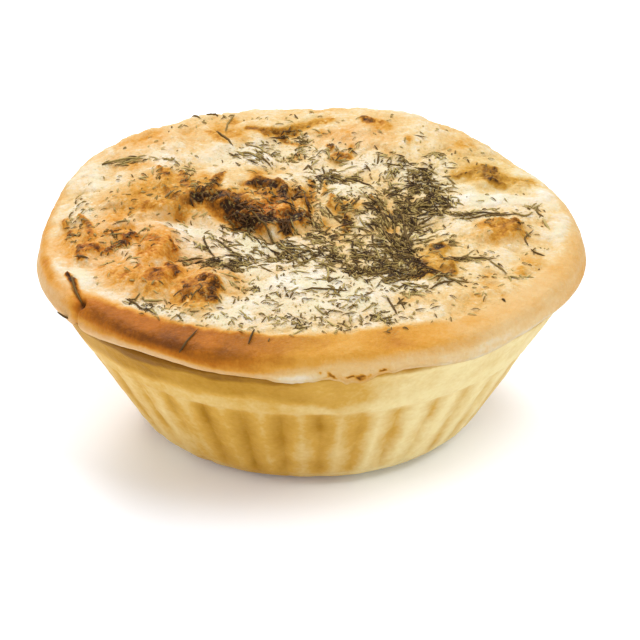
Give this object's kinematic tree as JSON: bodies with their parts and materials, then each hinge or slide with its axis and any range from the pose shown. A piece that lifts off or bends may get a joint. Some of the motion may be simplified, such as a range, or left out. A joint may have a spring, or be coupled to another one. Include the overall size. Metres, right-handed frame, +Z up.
{
  "type": "spinach and leek mini pie",
  "caption": "Savoury mini pie: a fluted shortcrust cup under a puffed, browned pastry lid that overhangs it and is strewn with dried dill.",
  "frame": {"origin": "middle of the flat foot that the pie stands on", "axes": "+Z up through the pie, -Y towards the front that the picture shows, +X to the right"},
  "size_m": [0.0752, 0.0748, 0.033],
  "materials": {
    "shortcrust": "baked, golden yellow, dry",
    "browned_lid": "baked, cream to golden brown, slightly glossy with fat"
  },
  "bodies": {
    "root": {"pastry_cup": "shortcrust", "pastry_lid": "browned_lid"}
  },
  "joints": []
}
